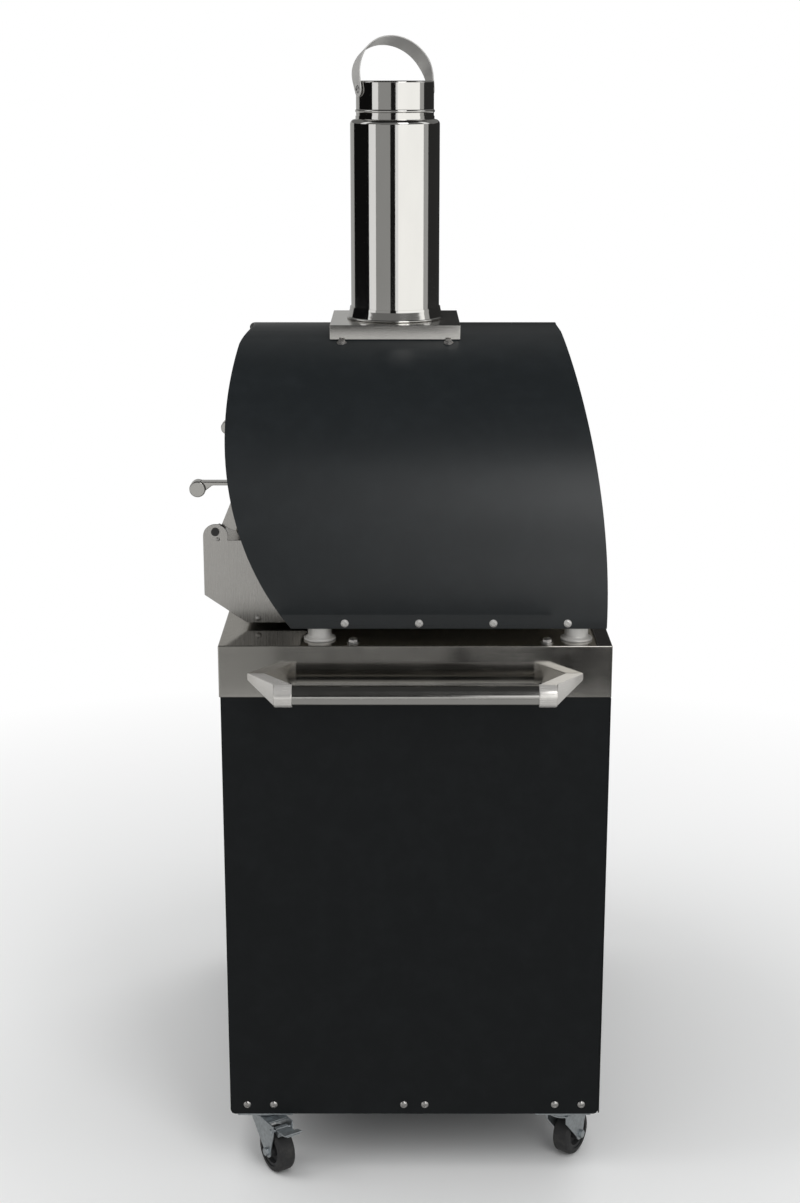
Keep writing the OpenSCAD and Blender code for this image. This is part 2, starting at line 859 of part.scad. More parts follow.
module rear_cover() {
    color([0.17, 0.18, 0.2]) place() intersection() {
        lengthwise(far) barrel(shell_in_r - gap);
        across(far) difference() {
            intersection() {
                translate(rear_c) circle(r = rear_edge_r - rear_inset, $fn = 360);
                translate([0, pan_z]) square([far, far]);
            }
            translate(rear_c) circle(r = rear_edge_r - rear_inset - sheet_t, $fn = 360);
        }
    }
}

module shell_bolts() {
    color("silver") place() both_sides() for (y = shell_bolt_y)
        translate([shell_r, y, shell_bolt_z]) rotate([0, 90, 0])
            dome_bolt(bolt_head_r, bolt_head_h, shell_t + sheet_t + 0.9);
}

// ---- door ----

module door_skin() {
    color("silver") place() leaf_frame() {
        difference() {
            leaf_slab(door_face, door_back - skin_t, door_half, door_foot, door_side, door_rise);
            leaf_slab(door_face + skin_t, door_back, door_half - skin_t, door_foot + skin_t,
                      door_side, door_rise - skin_t);
            probe_hole();
        }
        // Lugs that hang on the hinge pins
        both_sides() difference() {
            union() {
                rod_x(door_half - lug_t, 9, lug_t);
                translate([door_half - lug_t, 0, 0]) cube([lug_t, door_face + 8, door_foot + 1]);
            }
            rod_x(door_half - lug_t - 1, pin_r + running, lug_t + 2);
        }
    }
}

module door_core() {
    color([0.93, 0.93, 0.9]) place() leaf_frame() difference() {
        leaf_slab(door_face + skin_t, door_back - skin_t, door_half - skin_t,
                  door_foot + skin_t, door_side, door_rise - skin_t);
        probe_hole();
    }
}

module door_liner() {
    color("silver") place() leaf_frame() difference() {
        leaf_slab(door_back - skin_t, door_back, door_half, door_foot, door_side, door_rise);
        probe_hole();
    }
}

module door_pulls() {
    color("silver") place() leaf_frame() both_sides() translate([0, pull_c[0], pull_c[1]])
        rod_x(door_pull_x - door_pull_len / 2, pull_r, door_pull_len);
}

// The arm of the right pull: a strip that is level when the door is shut, and deepens to a
// wedge behind the pull
module door_pull_arm() {
    back = [cos(door_lean), sin(door_lean)];
    up = [-sin(door_lean), cos(door_lean)];
    top = pull_c + (pull_r - 1) * up;
    knee = top + pull_arm_run * back - pull_arm_t * up;
    tip_z = top[1] + (door_face - top[0]) * tan(door_lean);
    difference() {
        translate([door_pull_x, 0, 0]) across(pull_arm_w)
            polygon([top, [door_face, tip_z], [door_face, tip_z - pull_arm_t / cos(door_lean)],
                     knee, pull_c - (pull_r - 1) * up, pull_c]);
        translate([0, pull_c[0], pull_c[1]]) rod_x(-far, pull_r, 2 * far);
    }
}

module door_pull_arms() {
    color("silver") place() leaf_frame() both_sides() door_pull_arm();
}

module door_hinge_pins() {
    color([0.25, 0.25, 0.25]) place() translate([0, pivot_y, pivot_z]) both_sides() {
        rod_x(door_half - lug_t - 2, pin_r, cheek_x - door_half + lug_t + 2);
        rod_x(door_half + gap, 7, cheek_x - liner_t - door_half - gap);
        rod_x(cheek_x, 6.5, 2.5);
    }
}

// ---- thermometer ----

// Puts a piece on the door, with +Z out of the leaf
module at_gauge() {
    leaf_frame() translate([0, door_face, gauge_z]) rotate([90, 0, 0]) children();
}

// The probe's hole through the leaf, in the leaf's frame
module probe_hole() {
    translate([0, door_back + 1, gauge_z]) rotate([90, 0, 0])
        cylinder(r = probe_r, h = door_t + 2, $fn = 32);
}

module thermometer_case() {
    color("silver") place() at_gauge() {
        difference() {
            cylinder(r = gauge_r, h = gauge_depth, $fn = 96);
            translate([0, 0, 4]) cylinder(r = gauge_r - 3, h = gauge_depth, $fn = 96);
        }
        translate([0, 0, -door_t - 18]) cylinder(r = probe_r, h = door_t + 18, $fn = 32);
        cylinder(r = 2, h = 8, $fn = 32);
    }
}

module thermometer_dial() {
    color("white") place() at_gauge() difference() {
        translate([0, 0, 4]) cylinder(r = gauge_r - 3, h = 1.5, $fn = 96);
        cylinder(r = 2, h = 20, $fn = 32);
    }
}

module thermometer_needle() {
    color("firebrick") place() at_gauge() difference() {
        translate([0, 0, 6.2]) union() {
            cylinder(r = 4, h = 1, $fn = 40);
            rotate([0, 0, 225]) linear_extrude(1)
                polygon([[-6, -1.6], [gauge_r - 9, -0.4], [gauge_r - 9, 0.4], [-6, 1.6]]);
        }
        cylinder(r = 2 + running, h = 20, $fn = 32);
    }
}

module thermometer_glass() {
    color([0.8, 0.9, 0.95, 0.4]) place() at_gauge()
        translate([0, 0, gauge_depth - 3]) cylinder(r = gauge_r - 3, h = 2, $fn = 96);
}

// ---- chimney ----

module at_flue() {
    place() translate([0, -flue_front, 0]) children();
}

module flue_flange() {
    color("silver") at_flue() difference() {
        translate([-flange_w / 2, -flange_w / 2, flange_z - flange_skirt])
            cube([flange_w, flange_w, flange_skirt]);
        translate([-flange_w / 2 + sheet_t, -flange_w / 2 + sheet_t, flange_z - flange_skirt - 1])
            cube([flange_w - 2 * sheet_t, flange_w - 2 * sheet_t, flange_skirt + 1 - sheet_t]);
        cylinder(r = pipe_r + gap, h = far, $fn = 96);
        translate([0, 0, axis_z]) rotate([90, 0, 0])
            cylinder(r = shell_r, h = far, center = true, $fn = 240);
    }
}

module flange_bolts() {
    x = flange_w / 2 + 10;
    color("silver") at_flue() both_sides() for (s = [-1, 1])
        translate([0, s * (flange_w / 2 - 20), axis_z]) rotate([0, asin(x / shell_r), 0])
            translate([0, 0, shell_r]) {
                cylinder(r = 8, h = 1.5, $fn = 40);
                translate([0, 0, 1.5]) cylinder(r = 5.5, h = 4, $fn = 6);
            }
}

module flue_collar() {
    base_r = pipe_r + 7.3;
    color("silver") at_flue() translate([0, 0, flange_z]) rotate_extrude($fn = 96)
        difference() {
            union() {
                square([base_r - 2, 4]);
                translate([0, 2]) square([base_r, 0.1]);
                translate([base_r - 2, 2]) circle(r = 2, $fn = 32);
                polygon([[0, 0], [base_r - 2, 4], [pipe_r + 2.5, 16], [pipe_r + 2, 20], [0, 20]]);
            }
            translate([-1, -1]) square([pipe_r + 1, 40]);
        }
}

// A rounded can outline of radius r between two heights, for turning
module can_outline(r, z0, z1, corner) {
    translate([0, z0]) square([r, z1 - z0 - corner]);
    translate([0, z0]) square([r - corner, z1 - z0]);
    translate([r - corner, z1 - corner]) circle(r = corner, $fn = 48);
}

module flue_pipe() {
    low_z = vault_z + vault_r - 14;
    color("silver") at_flue() rotate_extrude($fn = 128) difference() {
        can_outline(pipe_r, low_z, shoulder_z, shoulder_r);
        can_outline(pipe_r - pipe_t, low_z - 1, shoulder_z - pipe_t, shoulder_r - pipe_t);
        square([neck_r, far]);
    }
}

module flue_cap() {
    spigot_r = neck_r - 0.5;
    spigot_h = 28;
    color("silver") at_flue() difference() {
        rotate_extrude($fn = 128) difference() {
            union() {
                can_outline(cap_r, cap_z, cap_top, 3);
                // Rolled bead and hem near the foot of the sleeve
                translate([cap_r - 1.5, cap_z + 13]) circle(r = 3, $fn = 40);
                translate([0, cap_z]) square([cap_r + 1, 5]);
                translate([0, cap_z - spigot_h]) square([spigot_r, spigot_h + 1]);
            }
            can_outline(cap_r - cap_t, cap_z + cap_t, cap_top - cap_t, 1.5);
            translate([0, cap_z - spigot_h - 1]) square([spigot_r - cap_t, spigot_h + 5]);
            translate([-far, -1]) square([far, far]);
        }
        // Holes for the bail's rivets
        translate([0, 0, bail_z]) rotate([90, 0, bail_turn])
            cylinder(r = rivet_r, h = 4 * cap_r, center = true, $fn = 40);
    }
}

// The bail's frame: origin between its rivets, +Y along the rivets, +Z up the standing bail
module at_bail(lean) {
    at_flue() translate([0, 0, bail_z]) rotate([0, 0, bail_turn]) rotate([0, -lean, 0]) children();
}

module cap_bail() {
    foot_r = 12;
    outer = bail_r + bail_t;
    color("silver") at_bail(bail_lean) difference() {
        intersection() {
            // Hoop with straight legs
            rotate([90, 0, 90]) linear_extrude(bail_w, center = true) difference() {
                union() {
                    translate([0, bail_leg]) circle(r = outer, $fn = 128);
                    translate([-outer, -foot_r]) square([2 * outer, bail_leg + foot_r]);
                }
                translate([0, bail_leg]) circle(r = bail_r, $fn = 128);
                translate([-bail_r, -foot_r - outer])
                    square([2 * bail_r, bail_leg + foot_r + outer]);
                translate([-far, -far - foot_r]) square([2 * far, far]);
            }
            // Its feet taper to round ends
            rotate([90, 0, 0]) linear_extrude(far, center = true) {
                circle(r = foot_r, $fn = 48);
                polygon([[-foot_r, 0], [foot_r, 0], [bail_w / 2, bail_leg + 25],
                         [bail_w / 2, far], [-bail_w / 2, far], [-bail_w / 2, bail_leg + 25]]);
            }
        }
        rotate([90, 0, 0])
            cylinder(r = rivet_r + running, h = far, center = true, $fn = 40);
    }
}

module bail_rivets() {
    outer = bail_r + bail_t + gap;
    color("silver") at_bail(0) for (s = [-1, 1]) rotate([-90 * s, 0, 0]) {
        translate([0, 0, cap_r - cap_t - 1])
            cylinder(r = rivet_r, h = outer - cap_r + cap_t + 2, $fn = 40);
        translate([0, 0, cap_r]) cylinder(r = 7, h = bail_r - gap - cap_r, $fn = 40);
        translate([0, 0, outer]) dome_bolt(7, 3, 0);
    }
}

cart_top();
side_panel_right();
side_panel_left();
rear_panel();
base_pan();
panel_bolts();
top_cap_nuts();
side_bar_right();
side_bar_left();
bar_brackets();
caster_plates();
fork_front_right();
fork_front_left();
fork_rear_right();
fork_rear_left();
wheel_front_right();
wheel_front_left();
wheel_rear_right();
wheel_rear_left();
tyre_front_right();
tyre_front_left();
tyre_rear_right();
tyre_rear_left();
axle_front_right();
axle_front_left();
axle_rear_right();
axle_rear_left();
brake_pedal_right();
brake_pedal_left();
oven_feet();
floor_pan();
floor_insulation();
hearth_stones();
landing_shelf();
cheek_screws();
front_fascia();
mouth_ring();
inner_dome();
dome_insulation();
outer_shell();
rear_cover();
shell_bolts();
door_skin();
door_core();
door_liner();
door_pulls();
door_pull_arms();
door_hinge_pins();
thermometer_case();
thermometer_dial();
thermometer_needle();
thermometer_glass();
flue_flange();
flange_bolts();
flue_collar();
flue_pipe();
flue_cap();
cap_bail();
bail_rivets();
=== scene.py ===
import json
import math

import bmesh
import bpy
from mathutils import Matrix, Vector
from mathutils.bvhtree import BVHTree
from mathutils.geometry import intersect_point_line

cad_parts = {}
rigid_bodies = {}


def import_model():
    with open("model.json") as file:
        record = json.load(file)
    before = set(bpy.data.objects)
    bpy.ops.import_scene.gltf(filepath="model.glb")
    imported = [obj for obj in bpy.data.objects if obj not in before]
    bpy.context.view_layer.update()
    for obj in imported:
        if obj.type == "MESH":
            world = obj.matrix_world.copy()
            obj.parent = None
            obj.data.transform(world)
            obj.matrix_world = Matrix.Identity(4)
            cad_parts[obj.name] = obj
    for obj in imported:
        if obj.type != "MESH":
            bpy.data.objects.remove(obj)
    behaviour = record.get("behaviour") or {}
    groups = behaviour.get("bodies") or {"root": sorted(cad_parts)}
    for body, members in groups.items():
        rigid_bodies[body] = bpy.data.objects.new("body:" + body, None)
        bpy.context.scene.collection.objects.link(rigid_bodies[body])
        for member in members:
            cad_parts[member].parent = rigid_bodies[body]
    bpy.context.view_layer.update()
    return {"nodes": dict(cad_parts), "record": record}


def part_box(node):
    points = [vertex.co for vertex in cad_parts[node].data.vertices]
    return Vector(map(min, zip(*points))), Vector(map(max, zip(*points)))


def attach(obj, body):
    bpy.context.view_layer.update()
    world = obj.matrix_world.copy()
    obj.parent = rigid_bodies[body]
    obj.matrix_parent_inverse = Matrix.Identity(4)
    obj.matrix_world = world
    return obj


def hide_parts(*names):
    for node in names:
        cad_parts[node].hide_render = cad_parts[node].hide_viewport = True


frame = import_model()
nodes = frame["nodes"]
record = frame["record"]
bodies = record["behaviour"]["bodies"]
body_of = {node: body for body, members in bodies.items() for node in members}
slot_of = {part["node"]: part["material_slot"] for part in record["subparts"]}
scene = bpy.context.scene

# The photograph's width and height, and where features show in its frame: x and y in pixels,
# or None where only the other one counts. Where the model has a feature elsewhere than the
# photograph has it, the point is the model's.
W, H = 800, 1203
LONG = max(W, H)
POINTS = {
    "object_left": (189.2, None), "object_right": (613, None),
    "object_top": (None, 35.1), "object_bottom": (None, 1171.9),
    "pull": (197, 488), "cheek_screw": (258.3, 618),
    "pipe_left": (350.5, None), "pipe_right": (440, None),
    "flange_left": (330, None), "flange_right": (460.4, None),
    "shell_left": (224.5, None), "shell_right": (608, None), "ridge": (None, 322.2),
    "shell_bolt_front": (344.8, 623.5), "shell_bolt_rear": (567.8, 623.5),
    "cap_nut": (353, 641), "band_left": (217.5, None), "cheek_rivet": (217.8, 539.3),
    "panel_bolt_front": (247.3, 1104.8), "panel_bolt_rear": (581.2, 1104.7),
}


# ---- camera: the photograph's view, from the oven's right side ----

cart_lo, cart_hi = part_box("cart_top")
CART_Y = (cart_lo[1] + cart_hi[1]) / 2
CAM_POS = (3.335, CART_Y - 0.0237, 1.765)
CAM_PITCH = 15.05  # degrees down
CAM_LENS = 58.05  # millimetres, and so is the sensor's width
CAM_SENSOR = 36.0
CAM_REACH = 200  # metres

cam_data = bpy.data.cameras.new("camera")
cam_data.lens = CAM_LENS
cam_data.sensor_width = CAM_SENSOR
cam_data.sensor_fit = "AUTO"
cam_data.clip_end = CAM_REACH
camera = bpy.data.objects.new("camera", cam_data)
camera.location = CAM_POS
camera.rotation_euler = (math.radians(90 - CAM_PITCH), 0, math.radians(90))
scene.collection.objects.link(camera)
scene.camera = camera
bpy.context.view_layer.update()


def image_ray(x, y):
    """Start and direction, in the world, of the ray through a point of the photograph."""
    across = x - W / 2 + cam_data.shift_x * LONG
    up = H / 2 - y + cam_data.shift_y * LONG
    local = Vector((across, up, -LONG * CAM_LENS / CAM_SENSOR))
    return camera.matrix_world.translation.copy(), camera.matrix_world.to_3x3() @ local.normalized()


def image_of(point):
    """Where a world point shows in the photograph's frame."""
    local = camera.matrix_world.inverted() @ point
    zoom = LONG * CAM_LENS / CAM_SENSOR / -local.z
    return (local.x * zoom + W / 2 - cam_data.shift_x * LONG,
            H / 2 + cam_data.shift_y * LONG - local.y * zoom)


# ---- material building blocks ----

COLOUR_A, COLOUR_B, COLOUR_OUT = 6, 7, 2  # a Mix node's sockets for colours


def new_material(name, base, metallic, roughness):
    """A material with its node tree and its shader, all of one tone so far."""
    mat = bpy.data.materials.new(name)
    mat.use_nodes = True
    shader = mat.node_tree.nodes["Principled BSDF"]
    shader.inputs["Base Color"].default_value = (*base, 1)
    shader.inputs["Metallic"].default_value = metallic
    shader.inputs["Roughness"].default_value = roughness
    mat.diffuse_color = (*base, 1)
    return mat, mat.node_tree, shader


def add(tree, kind, **inputs):
    """A new node whose inputs have the values given."""
    node = tree.nodes.new(kind)
    for key, value in inputs.items():
        node.inputs[key].default_value = value
    return node


def coords(tree, scale=(1, 1, 1)):
    """Object coordinates in metres, stretched by scale."""
    tex = tree.nodes.new("ShaderNodeTexCoord")
    mapping = add(tree, "ShaderNodeMapping", Scale=scale)
    tree.links.new(tex.outputs["Object"], mapping.inputs["Vector"])
    return mapping.outputs["Vector"]


def noise(tree, vector, scale, detail=3.0, rough=0.5):
    """Noise whose spots are about 1 / scale wide in its coordinates."""
    node = add(tree, "ShaderNodeTexNoise", Scale=scale, Detail=detail, Roughness=rough)
    tree.links.new(vector, node.inputs["Vector"])
    return node.outputs["Fac"]


def remap(tree, value, low, high, between=(0.3, 0.7)):
    """Turns what lies between the two marks into low to high, and holds it there outside."""
    node = tree.nodes.new("ShaderNodeMapRange")
    node.inputs["From Min"].default_value = between[0]
    node.inputs["From Max"].default_value = between[1]
    node.inputs["To Min"].default_value = low
    node.inputs["To Max"].default_value = high
    tree.links.new(value, node.inputs["Value"])
    return node.outputs["Result"]


def fill(tree, socket, value):
    """Gives an input a colour, a number or what another node puts out."""
    if isinstance(value, tuple):
        socket.default_value = (*value, 1)
    elif isinstance(value, (int, float)):
        socket.default_value = value
    else:
        tree.links.new(value, socket)


def mix_colour(tree, factor, one, two):
    """From colour one, where the factor is 0, to colour two."""
    node = tree.nodes.new("ShaderNodeMix")
    node.data_type = "RGBA"
    tree.links.new(factor, node.inputs["Factor"])
    fill(tree, node.inputs[COLOUR_A], one)
    fill(tree, node.inputs[COLOUR_B], two)
    return node.outputs[COLOUR_OUT]


def math_node(tree, operation, one, two):
    """A sum or product of two numbers or outputs."""
    node = tree.nodes.new("ShaderNodeMath")
    node.operation = operation
    fill(tree, node.inputs[0], one)
    fill(tree, node.inputs[1], two)
    return node.outputs[0]


def tint(tree, shader, factor, one, two):
    """Lets a shader's colour run from one to two."""
    tree.links.new(mix_colour(tree, factor, one, two), shader.inputs["Base Color"])


def roughen(tree, shader, value):
    """Lets a shader's roughness follow a value."""
    tree.links.new(value, shader.inputs["Roughness"])


def bump(tree, shader, height, strength, distance):
    """Raises a shader's surface by a height, at most the distance in metres."""
    node = add(tree, "ShaderNodeBump", Strength=strength, Distance=distance)
    tree.links.new(height, node.inputs["Height"])
    tree.links.new(node.outputs["Normal"], shader.inputs["Normal"])


def times(base, share):
    """A colour made darker or lighter."""
    return tuple(min(1.0, c * share) for c in base)


# ---- materials ----

ALONG, CROSSWISE = 9, 2400  # how close brushing repeats along and across its lines
GRAIN = {
    "x": (ALONG, CROSSWISE, CROSSWISE),
    "y": (CROSSWISE, ALONG, CROSSWISE),
    "z": (CROSSWISE, CROSSWISE, ALONG),
}


def steel(name, grain, base=(0.57, 0.555, 0.535), rough=(0.22, 0.32), depth=0.12,
          metallic=1.0):
    """Brushed stainless: fine lines along one axis, with faint smudges."""
    mat, tree, shader = new_material(name, base, metallic, rough[0])
    lines = noise(tree, coords(tree, GRAIN[grain]), scale=1.0, detail=4.0, rough=0.65)
    smudge = noise(tree, coords(tree), scale=7.0, detail=4.0, rough=0.6)
    spread = remap(tree, smudge, -0.03, 0.05)
    roughen(tree, shader, math_node(tree, "ADD", remap(tree, lines, *rough), spread))
    tint(tree, shader, remap(tree, lines, 0, 1), times(base, 0.93), times(base, 1.05))
    bump(tree, shader, lines, strength=depth, distance=0.00003)
    return mat


def polished(name, base=(0.66, 0.65, 0.63), rough=(0.035, 0.09)):
    """Polished stainless: near mirror, with wipe marks and a few hairlines."""
    mat, tree, shader = new_material(name, base, 1.0, rough[0])
    wipe = noise(tree, coords(tree, (1, 1, 0.35)), scale=14.0, detail=5.0, rough=0.6)
    roughen(tree, shader, remap(tree, wipe, *rough))
    tint(tree, shader, remap(tree, wipe, 0, 1), times(base, 0.95), base)
    hair = noise(tree, coords(tree, (60, 60, 3)), scale=14.0, detail=2.0)
    bump(tree, shader, hair, strength=0.08, distance=0.00003)
    return mat


def coat(name, base, rough=(0.36, 0.46), gloss=0.5):
    """Powder coat: fine orange peel over sheet metal, with faint dust."""
    mat, tree, shader = new_material(name, base, 0.0, rough[0])
    peel = noise(tree, coords(tree), scale=620.0, detail=2.0, rough=0.45)
    patch = noise(tree, coords(tree), scale=3.5, detail=4.0, rough=0.55)
    specks = noise(tree, coords(tree), scale=26.0, detail=6.0, rough=0.7)
    roughen(tree, shader, remap(tree, patch, *rough))
    dusty = tuple(c * 1.22 + 0.001 for c in base)
    tint(tree, shader, remap(tree, specks, 0, 1, between=(0.45, 0.75)), base, dusty)
    bump(tree, shader, peel, strength=0.22, distance=0.00012)
    shader.inputs["Specular IOR Level"].default_value = gloss
    return mat


def iron(name):
    """Black cast iron: sandy skin, sooty in places."""
    base, soot = (0.02, 0.02, 0.021), (0.045, 0.043, 0.04)
    mat, tree, shader = new_material(name, base, 0.25, 0.6)
    sand = noise(tree, coords(tree), scale=420.0, detail=4.0, rough=0.6)
    patch = noise(tree, coords(tree), scale=18.0, detail=5.0, rough=0.65)
    roughen(tree, shader, remap(tree, patch, 0.48, 0.72))
    tint(tree, shader, remap(tree, patch, 0, 1), base, soot)
    bump(tree, shader, sand, strength=0.5, distance=0.0004)
    return mat


def zinc(name, base=(0.42, 0.45, 0.47), metallic=0.9):
    """Zinc or aluminium plating: spangled and a little dull."""
    mat, tree, shader = new_material(name, base, metallic, 0.35)
    cells = add(tree, "ShaderNodeTexVoronoi", Scale=160.0)
    tree.links.new(coords(tree), cells.inputs["Vector"])
    spangle = remap(tree, cells.outputs["Distance"], 0, 1, between=(0, 0.8))
    patch = noise(tree, coords(tree), scale=60.0, detail=4.0)
    roughen(tree, shader, remap(tree, patch, 0.28, 0.45))
    tint(tree, shader, spangle, times(base, 0.82), times(base, 1.12))
    bump(tree, shader, noise(tree, coords(tree), scale=500.0), strength=0.2, distance=0.00008)
    return mat


def rubber(name, base=(0.018, 0.018, 0.019), scuff=(0.05, 0.048, 0.045)):
    """Rubber or moulded plastic: matt, pebbled and scuffed."""
    mat, tree, shader = new_material(name, base, 0.0, 0.75)
    wear = noise(tree, coords(tree), scale=70.0, detail=6.0, rough=0.7)
    tint(tree, shader, remap(tree, wear, 0, 1, between=(0.5, 0.75)), base, scuff)
    roughen(tree, shader, remap(tree, wear, 0.6, 0.85))
    bump(tree, shader, noise(tree, coords(tree), scale=900.0), strength=0.3, distance=0.0002)
    return mat


def stone(name):
    """Cordierite hearth stone: sandy and flecked, with sooty patches."""
    base, fleck, soot = (0.52, 0.43, 0.31), (0.66, 0.58, 0.46), (0.16, 0.13, 0.1)
    mat, tree, shader = new_material(name, base, 0.0, 0.85)
    sand = noise(tree, coords(tree), scale=480.0, detail=3.0, rough=0.7)
    patch = noise(tree, coords(tree), scale=6.0, detail=6.0, rough=0.65)
    clean = mix_colour(tree, remap(tree, sand, 0, 1, between=(0.5, 0.62)), base, fleck)
    tint(tree, shader, remap(tree, patch, 0, 0.8, between=(0.48, 0.75)), clean, soot)
    pores = noise(tree, coords(tree), scale=300.0, detail=5.0, rough=0.7)
    bump(tree, shader, pores, strength=0.5, distance=0.0006)
    return mat


def fibre(name):
    """Ceramic fibre blanket: white, felted and soft."""
    base, shade = (0.8, 0.78, 0.72), (0.6, 0.57, 0.5)
    mat, tree, shader = new_material(name, base, 0.0, 0.95)
    lint = noise(tree, coords(tree, (1, 1, 2.5)), scale=180.0, detail=6.0, rough=0.7)
    tint(tree, shader, remap(tree, lint, 0, 1), base, shade)
    bump(tree, shader, lint, strength=0.7, distance=0.002)
    return mat


def enamel(name, base):
    """Enamel or ink: smooth, with a faint unevenness."""
    rough = 0.35
    mat, tree, shader = new_material(name, base, 0.0, rough)
    tone = noise(tree, coords(tree), scale=90.0)
    tint(tree, shader, remap(tree, tone, 0, 1), times(base, 0.9), base)
    roughen(tree, shader, remap(tree, tone, rough * 0.8, rough * 1.2))
    bump(tree, shader, noise(tree, coords(tree), scale=800.0), strength=0.1, distance=0.00005)
    return mat


def clear_glass(name):
    """The thermometer's thin window, a little smeared."""
    mat, tree, shader = new_material(name, (1, 1, 1), 0.0, 0.02)
    shader.inputs["Transmission Weight"].default_value = 1.0
    shader.inputs["IOR"].default_value = 1.1
    smear = noise(tree, coords(tree), scale=60.0, detail=4.0)
    roughen(tree, shader, remap(tree, smear, 0.0, 0.05))
    return mat


# A pair after the colour is the lowest and the highest roughness.
MATS = {
    "steel_x": steel("stainless_grain_x", "x"),
    "steel_z": steel("stainless_grain_z", "z"),
    "band": steel("stainless_band", "y", (0.5, 0.485, 0.455), (0.07, 0.12), depth=0.08),
    "flange": steel("stainless_flange", "y", (0.68, 0.665, 0.64), (0.1, 0.15), depth=0.06),
    "bracket": steel("stainless_bracket", "y", (0.78, 0.76, 0.73), (0.2, 0.28), depth=0.06,
                     metallic=0.6),
    "satin": steel("stainless_satin", "z", (0.62, 0.61, 0.59), (0.34, 0.44), depth=0.08,
                   metallic=0.5),
    "inner": steel("stainless_heated", "y", (0.36, 0.33, 0.29), (0.36, 0.5), depth=0.2),
    "bar": polished("stainless_bar", (0.56, 0.55, 0.53), (0.1, 0.17)),
    "bolt": polished("bolt_steel", (0.5, 0.49, 0.48), (0.24, 0.34)),
    "mirror": polished("stainless_polished"),
    "shell": coat("charcoal_shell", (0.0098, 0.0124, 0.014), (0.34, 0.42)),
    "panel": coat("charcoal_panel", (0.0054, 0.0067, 0.0077), (0.4, 0.48), gloss=0.2),
    "iron": iron("black_iron"),
    "black": coat("black_steel", (0.02, 0.02, 0.02)),
    "zinc": zinc("zinc_plate"),
    "pan": zinc("aluminised_pan", (0.66, 0.62, 0.54), metallic=0.1),
    "rubber": rubber("tread_rubber"),
    "hub": rubber("hub_plastic", (0.03, 0.03, 0.032), scuff=(0.05, 0.05, 0.05)),
    "stone": stone("hearth_stone"),
    "fibre": fibre("fibre_insulation"),
    "dial": enamel("dial_white", (0.8, 0.8, 0.78)),
    "red": enamel("needle_red", (0.5, 0.02, 0.015)),
    "ink": enamel("dial_ink", (0.02, 0.02, 0.02)),
    "glass": clear_glass("clear_glass"),
}


# ---- pieces ----

ROUNDING = 0.0008  # an edge's usual rounding, in metres like all lengths here
WELD = 2e-6  # points closer than this are one
SLIVER = 1e-6  # edges shorter than this go
FLAT = math.radians(0.02)  # faces that meet at less than this are one face
CORNER = math.radians(32)  # edges that turn by more than this are rounded
SLANT = 0.5  # sine of the most that a face's width may slant from straight across
SHARE = 0.45  # what the rounding of an edge may take of a thin face
SEGMENTS = 2  # faces across a rounding


def finished(bm, name):
    """Turns what has been built into a mesh."""
    mesh = bpy.data.meshes.new(name)
    bm.to_mesh(mesh)
    bm.free()
    return mesh


def paint(ob, mat):
    """Gives a piece its one material."""
    ob.data.materials.clear()
    ob.data.materials.append(MATS[mat])


def place_piece(name, mesh, body, mat, slot, replaced=None):
    """A piece that rides on a body, and may replace a CAD node."""
    ob = bpy.data.objects.new(name, mesh)
    scene.collection.objects.link(ob)
    paint(ob, mat)
    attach(ob, body)
    if replaced:
        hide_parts(replaced)
    return ob


def apply_modifiers(ob):
    """Turns a piece's modifiers into its mesh."""
    bpy.context.view_layer.update()
    graph = bpy.context.evaluated_depsgraph_get()
    mesh = bpy.data.meshes.new_from_object(ob.evaluated_get(graph), depsgraph=graph)
    ob.modifiers.clear()
    ob.data = mesh


def room(edge):
    """The width of the narrower face beside an edge, straight across from the edge's middle."""
    start, end = (v.co for v in edge.verts)
    middle, along = (start + end) / 2, (end - start).normalized()
    widths = []
    for other in {e for face in edge.link_faces for e in face.edges} - {edge}:
        a, b = (v.co for v in other.verts)
        part = min(1, max(0, intersect_point_line(middle, a, b)[1]))
        across = a.lerp(b, part) - middle
        if abs(across.dot(along)) < SLANT * across.length:
            widths.append(across.length)
    return min(widths, default=math.inf)


def welded(node, width=ROUNDING, shortest=0.0, thin=0.0):
    """A clean copy of a CAD node's mesh: joined points, and flat faces made whole.

    Its corners are marked for a rounding of the given width. A corner shorter than shortest
    stays sharp. Beside a face narrower than thin the rounding takes only its share of the face,
    so that the roundings of a thin sheet's two edges don't cross.
    """
    bm = bmesh.new()
    bm.from_mesh(nodes[node].data)
    bmesh.ops.remove_doubles(bm, verts=bm.verts, dist=WELD)
    flat = [e for e in bm.edges if len(e.link_faces) == 2 and e.calc_face_angle(1) < FLAT]
    bmesh.ops.dissolve_edges(bm, edges=flat, use_verts=False)
    bmesh.ops.dissolve_degenerate(bm, dist=SLIVER, edges=bm.edges)
    weight = bm.edges.layers.float.new("bevel_weight_edge")
    for face in bm.faces:
        face.smooth = True
    for edge in bm.edges:
        if len(edge.link_faces) != 2 or edge.calc_face_angle(0) <= CORNER:
            continue
        across = room(edge) if thin else math.inf
        if edge.calc_length() < shortest:
            edge.smooth = False
        elif across < thin:
            edge[weight] = SHARE * across / width
        else:
            edge[weight] = 1
    return finished(bm, node + "_clean")


